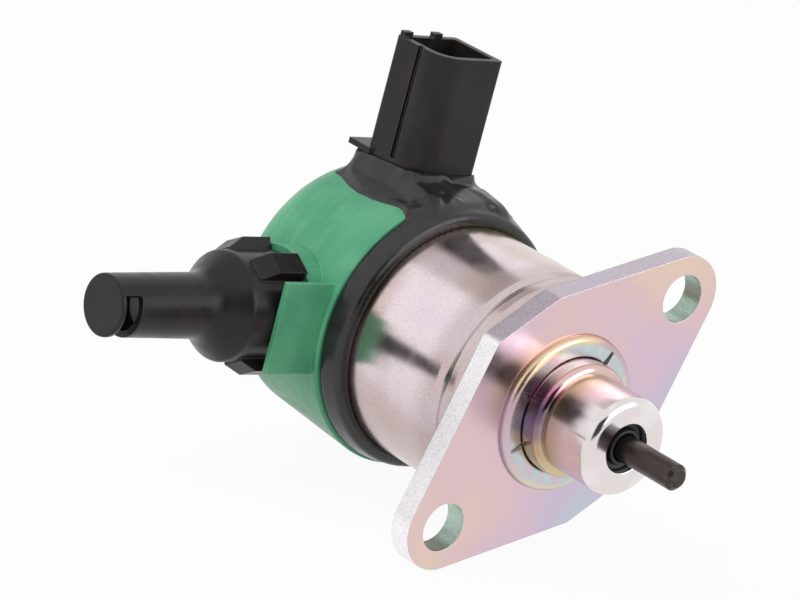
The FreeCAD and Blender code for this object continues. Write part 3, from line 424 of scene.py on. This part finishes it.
def can_material():
    """Drawn case: satin plate, golden beside the boot, painted shade below and beside the flange.
    """
    m, _ = plated("can_steel", 0.19, 0.20, 0.005, stretch=(0.5, 1.0, 1.0))
    place = m.position()
    along_x = m.along(place, (1, 0, 0))
    clouds = m.noise(place, 13.0, detail=2.0, roughness=0.45)
    # The clouds are the film's own tint. Its pull to gold below is painted shade, and on the upper
    # side towards +Y it is a painted reflection.
    film = m.weighted(
        0.50 - 0.60 * 0.5,
        (clouds, 0.60),
        (m.soft(along_x, -24.0, -31.0), -0.20),
        (m.soft(m.along(place, (0, 0, 1)), -2.0, -16.0), -0.20),
        (m.soft(m.along(place, (0, 1, 2)), 14.0, 20.0), -0.20),
    )
    colour = m.ramp(film, (
        (0.05, srgb(196, 186, 154)), (0.20, srgb(206, 188, 172)), (0.36, srgb(216, 196, 194)),
        (0.52, srgb(234, 219, 224)), (0.68, srgb(226, 212, 226)), (0.84, srgb(212, 212, 220)),
    ))
    # Painted shade: darker below.
    below = m.soft(m.along(place, (0, 0, 1)), 3.0, -10.0)
    colour = m.mix(m.calc(below, 0.55, "MULTIPLY"), colour, srgb(184, 164, 172))
    # Painted shade beside the flange, where the case meets it.
    painted_shade_by_flange = m.soft(along_x, -15.0, -10.5)
    colour = m.mix(m.calc(painted_shade_by_flange, 0.45, "MULTIPLY"), colour, srgb(172, 152, 150))
    colour = speckled(m, m.position((0.4, 1.0, 1.0)), colour, 0.22, 0.10)
    m.link(colour, m.shader.inputs["Base Color"])
    return m


def yoke_material():
    """Swaged collar: pale blue and green on its flat, a painted gold highlight and rose shade on
    its shoulder.
    """
    m, edge_wear_and_highlight = plated("yoke_steel", 0.24, 0.25, 0.004)
    place = m.position()
    from_axis = m.far_from(m.position((0.0, 1.0, 1.0)), (0, 0, 0))
    flat = m.ramp(m.noise(place, 3.6, detail=2.0, distortion=0.6), (
        (0.36, srgb(206, 192, 200)), (0.48, srgb(192, 202, 208)), (0.58, srgb(196, 210, 204)),
        (0.70, srgb(212, 206, 186)),
    ))
    # The shoulder's colour follows the key lamp's direction: the gold on the side towards it is a
    # painted highlight, and the darker rose just below is painted shade.
    painted_highlight_side = m.along(place, (0, -0.47, 0.88))
    shoulder = m.ramp(m.span(painted_highlight_side, -12.0, 12.0, 0.0, 1.0), (
        (0.10, srgb(214, 208, 186)), (0.45, srgb(204, 188, 198)), (0.84, srgb(196, 170, 178)),
        (0.97, srgb(232, 204, 172)),
    ))
    colour = m.mix(m.soft(from_axis, COLLAR_FLAT_R - 0.4, COLLAR_FLAT_R + 0.3), flat, shoulder)
    colour = m.mix(m.calc(edge_wear_and_highlight, 0.4, "MULTIPLY"), colour, srgb(236, 236, 232))
    m.link(colour, m.shader.inputs["Base Color"])
    return m


def nose_material():
    """Drawn nose: violet and bronze film on the bead with a painted dark reflection, plain warm
    steel further out.
    """
    m, _ = plated("nose_steel", 0.15, 0.22, 0.004)
    place = m.position()
    height = m.along(place, (0, 0, 1))
    wander = m.noise(place, 3.0, detail=2.0)
    # The bead's colour runs by height: its violet, rose and bronze are the film, and its dark band
    # at mid-height is a painted reflection.
    bead = m.ramp(m.weighted(0.5 - 0.20 * 0.5, (height, 1.0 / 22.0), (wander, 0.20)), (
        (0.10, srgb(206, 190, 150)), (0.30, srgb(186, 154, 128)), (0.42, srgb(140, 116, 132)),
        (0.58, srgb(98, 76, 104)), (0.72, srgb(192, 122, 154)), (0.86, srgb(220, 188, 184)),
    ))
    plain = m.ramp(m.noise(place, 7.0, detail=2.5), (
        (0.34, srgb(226, 220, 210)), (0.50, srgb(228, 219, 219)), (0.66, srgb(234, 229, 228)),
    ))
    along_x = m.along(place, (1, 0, 0))
    # The straw tint just past the bead is a painted reflection.
    straw_painted_reflection = m.mix(m.soft(along_x, 10.5, 6.0), plain, srgb(200, 188, 164))
    colour = m.mix(m.soft(along_x, NOSE_BEAD_TOP + 1.0, NOSE_BEAD_TOP - 0.6), straw_painted_reflection, bead)
    m.link(colour, m.shader.inputs["Base Color"])
    return m


def pin_material():
    """Ground and hardened pin: dark, with fine turning marks and a brighter chamfer."""
    m = Nodes("pin_steel")
    colour = m.ramp(m.noise(m.position((0.12, 1.0, 1.0)), 1.2, detail=4.0), (
        (0.3, srgb(62, 56, 54)), (0.7, srgb(79, 72, 69))))
    edge_wear_and_highlight, soft_normal = m.edges_worn_and_highlit(0.12)
    m.link(m.mix(edge_wear_and_highlight, colour, srgb(150, 140, 134)), m.shader.inputs["Base Color"])
    rings = m.noise(m.position((4.0, 1.0, 1.0)), 0.3)
    m.link(m.bump(rings, 0.002, below=soft_normal), m.shader.inputs["Normal"])
    m.set(Metallic=0.9, Roughness=0.34)
    return m


def boot_material():
    """Glossy black sealing skin, slightly uneven, with one satin spot."""
    m = Nodes("boot_rubber")
    place = m.position()
    clouds = m.noise(place, 5.0, detail=3.0)
    colour = m.ramp(clouds, ((0.3, srgb(26, 25, 26)), (0.7, srgb(34, 33, 34))))
    m.link(colour, m.shader.inputs["Base Color"])
    smears = m.noise(place, 2.2, detail=4.0, roughness=0.6)
    satin = m.soft(m.far_from(place, BOOT_DIMPLE), BOOT_DIMPLE_R + 0.15, BOOT_DIMPLE_R - 0.15)
    roughness = m.weighted(m.span(smears, 0.3, 0.7, 0.16, 0.30), (satin, 0.35))
    m.link(roughness, m.shader.inputs["Roughness"])
    waves = m.bump(m.noise(place, 2.4, detail=2.0), 0.015)
    m.link(m.bump(m.noise(place, 0.5, detail=3.0), 0.006, below=waves), m.shader.inputs["Normal"])
    m.set(Specular_IOR_Level=0.5)
    return m


def simple_metal(name, colour, roughness):
    """Plain metal with faint smears, for the hidden pieces."""
    m = Nodes(name)
    smears = m.noise(m.position(), 1.5, detail=4.0)
    varied = m.span(smears, 0.3, 0.7, roughness - 0.06, roughness + 0.06)
    m.link(varied, m.shader.inputs["Roughness"])
    m.link(m.bump(m.noise(m.position((0.3, 1.0, 1.0)), 0.3), 0.003), m.shader.inputs["Normal"])
    m.set(Metallic=1.0, Base_Color=colour)
    return m


def all_materials():
    """One material for each slot of the record, by the slot's name."""
    made = {
        "flange_plate": flange_material(),
        "can_steel": can_material(),
        "yoke_steel": yoke_material(),
        "nose_steel": nose_material(),
        "pin_steel": pin_material(),
        "core_iron": simple_metal("core_iron", srgb(150, 150, 152), 0.40),
        "spring_steel": simple_metal("spring_steel", srgb(140, 140, 143), 0.35),
        "sleeve_brass": simple_metal("sleeve_brass", srgb(205, 172, 104), 0.30),
        "copper_wire": simple_metal("copper_wire", srgb(200, 110, 62), 0.35),
        "terminal_tin": simple_metal("terminal_tin", srgb(205, 203, 196), 0.25),
        "bobbin_plastic": moulded("bobbin_plastic", srgb(205, 200, 180), srgb(215, 210, 192), 0.5),
        "wrap_tape": moulded("wrap_tape", srgb(200, 180, 90), srgb(212, 192, 104), 0.4),
        "bush_plastic": moulded("bush_plastic", srgb(80, 80, 82), srgb(96, 96, 98), 0.5),
        "seal_rubber": moulded("seal_rubber", srgb(22, 21, 21), srgb(32, 30, 30), 0.40),
        "cap_plastic": cap_material(),
        "boot_rubber": boot_material(),
        # The edge colours of the connector and the vent are painted highlights along their rims.
        "connector_plastic": moulded("connector_plastic", srgb(29, 26, 25), srgb(37, 33, 32), 0.36,
                                     grain=0.26, grain_height=0.012,
                                     edge=srgb(112, 105, 102), gloss=0.26),
        "vent_plastic": moulded("vent_plastic", srgb(26, 23, 24), srgb(36, 32, 33), 0.30,
                                grain=0.5, grain_height=0.010, edge=srgb(92, 84, 78), gloss=0.26),
        "filter_media": moulded("filter_media", srgb(220, 220, 214), srgb(232, 232, 226), 0.8),
        "lead_insulation": moulded("lead_insulation", srgb(150, 40, 32), srgb(165, 50, 40), 0.45),
    }
    return {slot: nodes.material for slot, nodes in made.items()}


def dress_nodes(made):
    """Gives every CAD node the material of its record slot."""
    for subpart in frame["record"]["subparts"]:
        piece = frame["nodes"][subpart["node"]]
        piece.data.materials.clear()
        piece.data.materials.append(made[subpart["material_slot"]])


def with_modifiers(piece):
    """Bakes a piece's modifiers into its mesh."""
    bpy.context.view_layer.update()
    seen = piece.evaluated_get(bpy.context.evaluated_depsgraph_get())
    baked = bpy.data.meshes.new_from_object(seen)
    piece.modifiers.clear()
    piece.data = baked


def ridge(place, start, finish, width):
    """1 on the line between two points and 0 at the width from it, with a soft fall."""
    line = finish - start
    share = max(0.0, min(1.0, (place - start).dot(line) / line.dot(line)))
    away = (place - start - share * line).length / width
    return math.exp(-2.5 * away * away)


def boot_lift(place):
    """How far the skin stands off its smooth form at a place, in millimetres."""
    on_saddle = (math.hypot(place.y, place.z) - BAND_OUTER_R) / SADDLE_RISE
    on_saddle = max(0.0, min(1.0, on_saddle))
    lump = LUMP_HEIGHT * on_saddle * noise.noise(place / LUMP_SIZE)
    lump += (RIPPLE_ON_BAND + RIPPLE_HEIGHT * on_saddle) * noise.noise(place / RIPPLE_SIZE)
    for start, finish, width, height in BOOT_FOLDS:
        lump += height * ridge(place, Vector(start), Vector(finish), width)
    return lump


def neck_drop(place):
    """How far the skin sinks in front of the connector's foot, in millimetres."""
    if place.x < CONNECTOR_X + CONNECTOR_HALF_X - NECK_MARGIN:
        return 0.0
    start, finish, width, depth = NECK
    return depth * eased(place.z - NECK_BASE_Z) * ridge(place, Vector(start), Vector(finish), width)


def is_free(vertex):
    """Whether a vertex lies on the skin's outside, clear of the connector."""
    place = vertex.co / MM
    radius = math.hypot(place.y, place.z)
    outward = Vector((0, place.y, place.z)).normalized().dot(vertex.normal) > FACING_OUT
    beside = max(abs(place.x - CONNECTOR_X) - CONNECTOR_HALF_X, abs(place.y) - CONNECTOR_HALF_Y)
    return radius > CAN_R + SKIN_MIN and outward and (beside > CONNECTOR_MARGIN or place.z < 0)


def eased(share):
    """0 below 0 and 1 above 1, with an eased step between them."""
    share = max(0.0, min(1.0, share))
    return share * share * (3 - 2 * share)


def cap_r(x):
    """Radius of the end cap's outside at a place along X."""
    if x > CAP_ROUND_X - CAP_ROUND * CAP_SLOPE:
        return CAP_FRONT_R - CAP_SLOPE * (CAP_FRONT_X - x)
    return CAP_ROUND_R + math.sqrt(max(0.0, CAP_ROUND ** 2 - (x - CAP_ROUND_X) ** 2))


def film_edge(x):
    """How far from the middle the skin reaches over the cap at a place along X."""
    for (x0, y0), (x1, y1) in zip(FILM_EDGE, FILM_EDGE[1:]):
        if x <= x1:
            return y0 + (y1 - y0) * max(0.0, (x - x0) / (x1 - x0))
    return FILM_EDGE[-1][1]


def add_film(shape, x_range, from_middle, side):
    """Adds a closed thin strip on the cap, from beside the middle to the film's edge."""
    steps_x = max(2, round((x_range[1] - x_range[0]) / FILM_STEP))
    steps_y = FILM_ROWS
    layers = []
    for height in (FILM_TOP, FILM_UNDER):
        rows = []
        for i in range(steps_x + 1):
            x = x_range[0] + (x_range[1] - x_range[0]) * i / steps_x
            row = []
            for j in range(steps_y + 1):
                y = from_middle + (film_edge(x) - from_middle) * j / steps_y
                z = math.sqrt(cap_r(x) ** 2 - y ** 2)
                place = Vector((0, side * y, z))
                place += place.normalized() * height
                row.append(shape.verts.new((x * MM, place.y * MM, place.z * MM)))
            rows.append(row)
        layers.append(rows)
    top, under = layers
    for rows in layers:
        for i in range(steps_x):
            for j in range(steps_y):
                shape.faces.new((rows[i][j], rows[i + 1][j], rows[i + 1][j + 1], rows[i][j + 1]))
    for i in range(steps_x):
        for j in (0, steps_y):
            shape.faces.new((top[i][j], top[i + 1][j], under[i + 1][j], under[i][j]))
    for j in range(steps_y):
        for i in (0, steps_x):
            shape.faces.new((top[i][j], top[i][j + 1], under[i][j + 1], under[i][j]))


def settled(vertex):
    """A vertex's place once the skin lies clean along the case and thins out over the cap."""
    place = vertex.co / MM
    radius = math.hypot(place.y, place.z)
    if place.x > CAP_FRONT_X + BAND_REAR_GAP and radius < CAN_R + BAND_LIP:
        share = (CAN_R + CAN_CLEARANCE) / radius
        return Vector((place.x, place.y * share, place.z * share)) * MM
    if place.x > CAP_FRONT_X - FILM_FRONT_GAP or place.z < 0:
        return vertex.co
    radial = Vector((0, place.y, place.z)) / radius
    within = film_edge(place.x) - abs(place.y)
    within += EDGE_WANDER * noise.noise(place / EDGE_WANDER_SIZE)
    height = radius - cap_r(place.x)
    ceiling = -EDGE_DEPTH + (FILM_TOP + EDGE_DEPTH) * eased(within + EDGE_FADE)
    ceiling += UPHILL_SLOPE * max(0.0, within - UPHILL_FROM)
    height = min(height, ceiling)
    if radial.dot(vertex.normal) > FILM_OUTSIDE and height > FILM_INSIDE:
        height = max(height, min(ceiling, FILM_LEAST))
    height = max(height, -FILM_SUNK)
    return (Vector((place.x, 0, 0)) + radial * (cap_r(place.x) + height)) * MM


def add_piece(name, mesh, slot, node, made):
    """Adds a piece that stands for a node of the solenoid's body."""
    piece = bpy.data.objects.new(name, mesh)
    bpy.context.scene.collection.objects.link(piece)
    mesh.materials.clear()
    mesh.materials.append(made[slot])
    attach(piece, "solenoid")
    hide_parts(node)
    return piece


def make_boot(made):
    """The sealing boot as one tight, uneven skin in place of its plain solid."""
    mesh = frame["nodes"]["sealing_boot"].data.copy()
    beside = CONNECTOR_HALF_Y + CONNECTOR_MARGIN
    film_front = CAP_FRONT_X - FILM_FRONT_GAP
    before_connector = CONNECTOR_X + CONNECTOR_HALF_X + 0.4
    shape = bmesh.new()
    shape.from_mesh(mesh)
    for side in (-1, 1):
        add_film(shape, (FILM_EDGE[0][0] + FILM_REAR_GAP, film_front), beside, side)
        add_film(shape, (before_connector, film_front), 0.0, side)
    bmesh.ops.recalc_face_normals(shape, faces=shape.faces)
    shape.to_mesh(mesh)
    shape.free()

    piece = add_piece("boot_skin", mesh, "boot_rubber", "sealing_boot", made)
    remesh = piece.modifiers.new("remesh", "REMESH")
    remesh.mode = "VOXEL"
    remesh.voxel_size = BOOT_VOXEL * MM
    with_modifiers(piece)

    free = piece.vertex_groups.new(name="free")
    free.add([vertex.index for vertex in piece.data.vertices if is_free(vertex)], 1.0, "REPLACE")
    smooth = piece.modifiers.new("smooth", "SMOOTH")
    smooth.factor = SMOOTH_FACTOR
    smooth.iterations = SMOOTH_PASSES
    smooth.vertex_group = free.name
    with_modifiers(piece)
    piece.vertex_groups.clear()

    for vertex in piece.data.vertices:
        place = vertex.co / MM
        if is_free(vertex):
            vertex.co += vertex.normal * boot_lift(place) * MM
        vertex.co.z -= neck_drop(place) * MM
    piece.data.update()
    places = [settled(vertex) for vertex in piece.data.vertices]
    for vertex, place in zip(piece.data.vertices, places):
        vertex.co = place
    piece.data.shade_smooth()


# Lip seal in millimetres, as (place along X, radius), and its steps round the axis
SEAL_PROFILE = (
    (10.4, 2.33), (10.4, 7.47), (13.97, 7.47), (14.27, 7.39), (14.49, 7.17), (14.57, 6.87),
    (14.57, 4.30), (14.50, 4.22), (13.98, 4.20), (13.88, 4.12), (13.82, 3.62), (13.88, 3.20),
    (14.00, 3.12), (14.90, 3.08), (15.12, 3.03), (15.25, 2.90), (15.27, 2.70), (15.20, 2.48),
    (15.05, 2.37), (14.75, 2.33),
)
SEAL_STEPS = 96


def make_seal(made):
    """Lip seal in the nose's mouth, turned with the soft corners of moulded rubber."""
    count = len(SEAL_PROFILE)
    points, faces = [], []
    for step in range(SEAL_STEPS):
        turn = 2 * math.pi * step / SEAL_STEPS
        here, there = step * count, (step + 1) % SEAL_STEPS * count
        for i, (x, r) in enumerate(SEAL_PROFILE):
            points.append((x * MM, r * math.cos(turn) * MM, r * math.sin(turn) * MM))
            after = (i + 1) % count
            faces.append((here + i, here + after, there + after, there + i))
    mesh = bpy.data.meshes.new("seal_lip")
    mesh.from_pydata(points, [], faces)
    shape = bmesh.new()
    shape.from_mesh(mesh)
    bmesh.ops.recalc_face_normals(shape, faces=shape.faces)
    shape.to_mesh(mesh)
    shape.free()
    mesh.shade_smooth()
    add_piece("seal_lip", mesh, "seal_rubber", "rod_seal", made)


def make_spring(made):
    """The return spring again, as a piece of its own on the solenoid's body."""
    mesh = frame["nodes"]["return_spring"].data.copy()
    piece = add_piece("spring_coil", mesh, "spring_steel", "return_spring", made)
    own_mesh(piece)


def emission(tree, colour):
    """A surface that shows one colour as it is written."""
    node = tree.nodes.new("ShaderNodeEmission")
    node.inputs["Color"].default_value = (*colour, 1.0)
    node.inputs["Strength"].default_value = 1.0
    return node.outputs[0]


def seen_directly(tree):
    """1 for camera, glossy and transmission rays, which see the white background."""
    path = tree.nodes.new("ShaderNodeLightPath")
    total = path.outputs["Is Camera Ray"]
    for ray in ("Is Glossy Ray", "Is Transmission Ray"):
        add = tree.nodes.new("ShaderNodeMath")
        add.operation = "MAXIMUM"
        tree.links.new(total, add.inputs[0])
        tree.links.new(path.outputs[ray], add.inputs[1])
        total = add.outputs[0]
    return total


def make_world():
    """White where it is seen, and a dimmer grey as light."""
    world = bpy.data.worlds.new("studio")
    bpy.context.scene.world = world
    world.use_nodes = True
    tree = world.node_tree
    tree.nodes.clear()
    plain = tree.nodes.new("ShaderNodeBackground")
    plain.inputs["Color"].default_value = WORLD_COLOUR
    plain.inputs["Strength"].default_value = WORLD_STRENGTH
    white = tree.nodes.new("ShaderNodeBackground")
    white.inputs["Color"].default_value = (*WHITE, 1.0)
    mix = tree.nodes.new("ShaderNodeMixShader")
    out = tree.nodes.new("ShaderNodeOutputWorld")
    tree.links.new(seen_directly(tree), mix.inputs[0])
    tree.links.new(plain.outputs[0], mix.inputs[1])
    tree.links.new(white.outputs[0], mix.inputs[2])
    tree.links.new(mix.outputs[0], out.inputs[0])


def make_floor():
    """Pale floor just under the part. It reads as white and keeps a soft shadow."""
    low, _ = CAD_BOX
    bpy.ops.mesh.primitive_plane_add(size=2 * FLOOR_HALF, location=(0, 0, low[2] - FLOOR_DROP))
    floor = bpy.context.object
    floor.name = "floor"
    material = bpy.data.materials.new("floor_white")
    material.use_nodes = True
    tree = material.node_tree
    tree.nodes.clear()
    diffuse = tree.nodes.new("ShaderNodeBsdfDiffuse")
    diffuse.inputs["Color"].default_value = FLOOR_COLOUR
    share = tree.nodes.new("ShaderNodeMath")
    share.operation = "MULTIPLY"
    share.inputs[1].default_value = FLOOR_GLOW
    tree.links.new(seen_directly(tree), share.inputs[0])
    mix = tree.nodes.new("ShaderNodeMixShader")
    out = tree.nodes.new("ShaderNodeOutputMaterial")
    tree.links.new(share.outputs[0], mix.inputs[0])
    tree.links.new(diffuse.outputs[0], mix.inputs[1])
    tree.links.new(emission(tree, WHITE), mix.inputs[2])
    tree.links.new(mix.outputs[0], out.inputs[0])
    floor.data.materials.append(material)


def aim(at):
    """Turn that points an object's -Z from its place to the middle of the part."""
    return (Vector(MIDDLE) - Vector(at)).to_track_quat("-Z", "Y").to_euler()


def make_lamp(name, at, size, power, reflected):
    data = bpy.data.lights.new(name, "AREA")
    data.shape = "RECTANGLE"
    data.size, data.size_y = size
    data.energy = power
    lamp = bpy.data.objects.new(name, data)
    lamp.location = at
    lamp.rotation_euler = aim(at)
    lamp.visible_glossy = reflected
    bpy.context.scene.collection.objects.link(lamp)


def make_board(name, at, size, shade):
    bpy.ops.mesh.primitive_plane_add(size=1.0, location=at, rotation=aim(at))
    board = bpy.context.object
    board.name = name
    board.scale = (*size, 1.0)
    board.visible_camera = False
    board.visible_shadow = False
    board.visible_diffuse = False
    material = bpy.data.materials.new(name)
    material.use_nodes = True
    tree = material.node_tree
    tree.nodes.clear()
    out = tree.nodes.new("ShaderNodeOutputMaterial")
    tree.links.new(emission(tree, shade), out.inputs[0])
    board.data.materials.append(material)


def make_camera():
    data = bpy.data.cameras.new("view")
    data.sensor_width = SENSOR_WIDTH
    data.lens = FOCAL_LENGTH
    data.clip_start = 0.01
    camera = bpy.data.objects.new("view", data)
    back = -CAMERA_FORWARD.normalized()
    up = (CAMERA_UP - back * CAMERA_UP.dot(back)).normalized()
    right = up.cross(back)
    turn = Matrix((right, up, back)).transposed().to_4x4()
    camera.matrix_world = Matrix.Translation(CAMERA_AT) @ turn
    bpy.context.scene.collection.objects.link(camera)
    bpy.context.scene.camera = camera


make_camera()
materials = all_materials()
dress_nodes(materials)
make_boot(materials)
make_seal(materials)
make_spring(materials)
make_world()
make_floor()
for lamp in LAMPS:
    make_lamp(*lamp)
for board in BOARDS:
    make_board(*board)
bpy.context.scene.view_settings.view_transform = "Standard"
